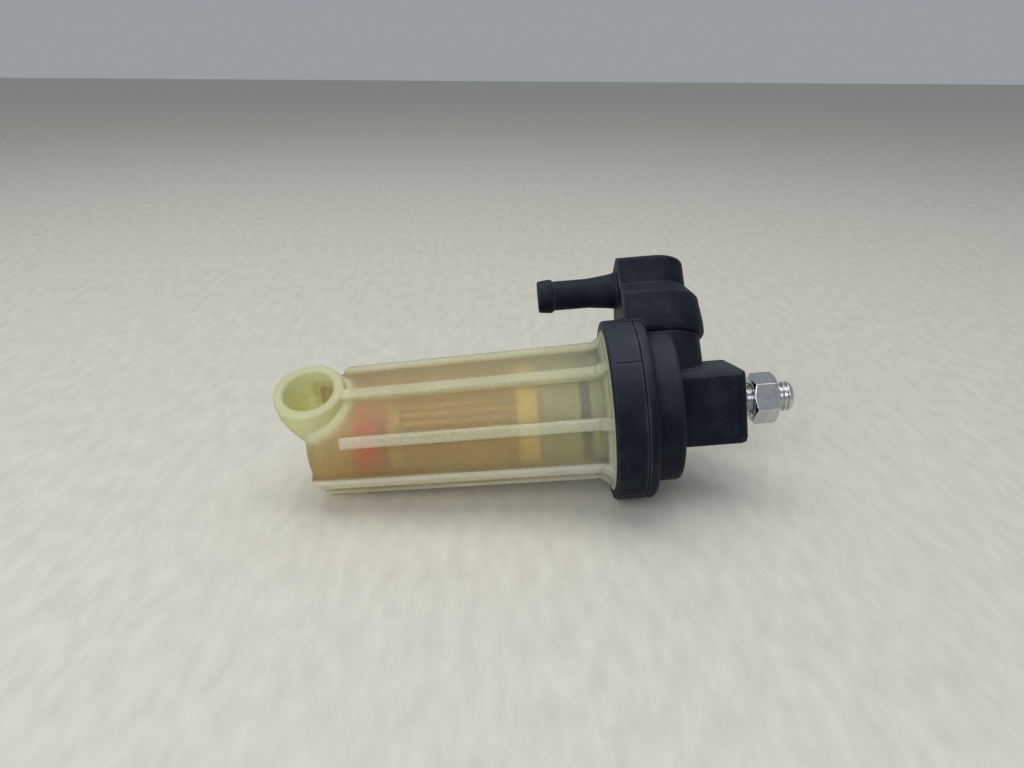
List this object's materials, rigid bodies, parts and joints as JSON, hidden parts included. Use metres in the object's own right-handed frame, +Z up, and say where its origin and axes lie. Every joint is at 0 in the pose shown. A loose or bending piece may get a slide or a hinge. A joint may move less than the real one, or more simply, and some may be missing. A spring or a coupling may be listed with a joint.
{
  "type": "fuel filter",
  "caption": "In-line outboard fuel filter with a ribbed translucent bowl, side inlet port, red float ring, black head, hose barb and a threaded mounting stud with its nut.",
  "frame": {"origin": "centre of the block's end face, where the mounting stud leaves it", "axes": "+X along the filter axis towards the mounting stud, +Z up as the filter lies on a bench, -Y towards the side that shows the inlet port"},
  "size_m": [0.1364, 0.0551, 0.0616],
  "materials": {
    "bowl_nylon": "frosted translucent",
    "black_nylon": "matte moulded",
    "grey_nylon": "matte moulded",
    "seal_rubber": "matte",
    "element_cap": "satin",
    "filter_paper": "matte",
    "float_red": "satin",
    "stainless": "bright"
  },
  "bodies": {
    "filter_body": {"bowl": "bowl_nylon", "retaining_ring": "black_nylon", "head": "black_nylon", "inner_sleeve": "grey_nylon", "bowl_seal": "seal_rubber", "outlet_elbow": "black_nylon", "outlet_seal": "seal_rubber", "element_upper_cap": "element_cap", "element_seal": "seal_rubber", "filter_paper": "filter_paper", "element_core": "black_nylon", "element_lower_cap": "element_cap", "mounting_stud": "stainless"},
    "float": {"float_ring": "float_red"},
    "nut": {"hex_nut": "stainless"}
  },
  "joints": [
    {"name": "float_travel", "type": "slide", "parent": "filter_body", "child": "float", "axis": [1, 0, 0], "range_m": [-0.0063, 0.0027]},
    {"name": "nut_turn", "type": "hinge", "parent": "filter_body", "child": "nut", "pos_m": [0, 0, 0], "axis": [1, 0, 0], "continuous": true}
  ]
}
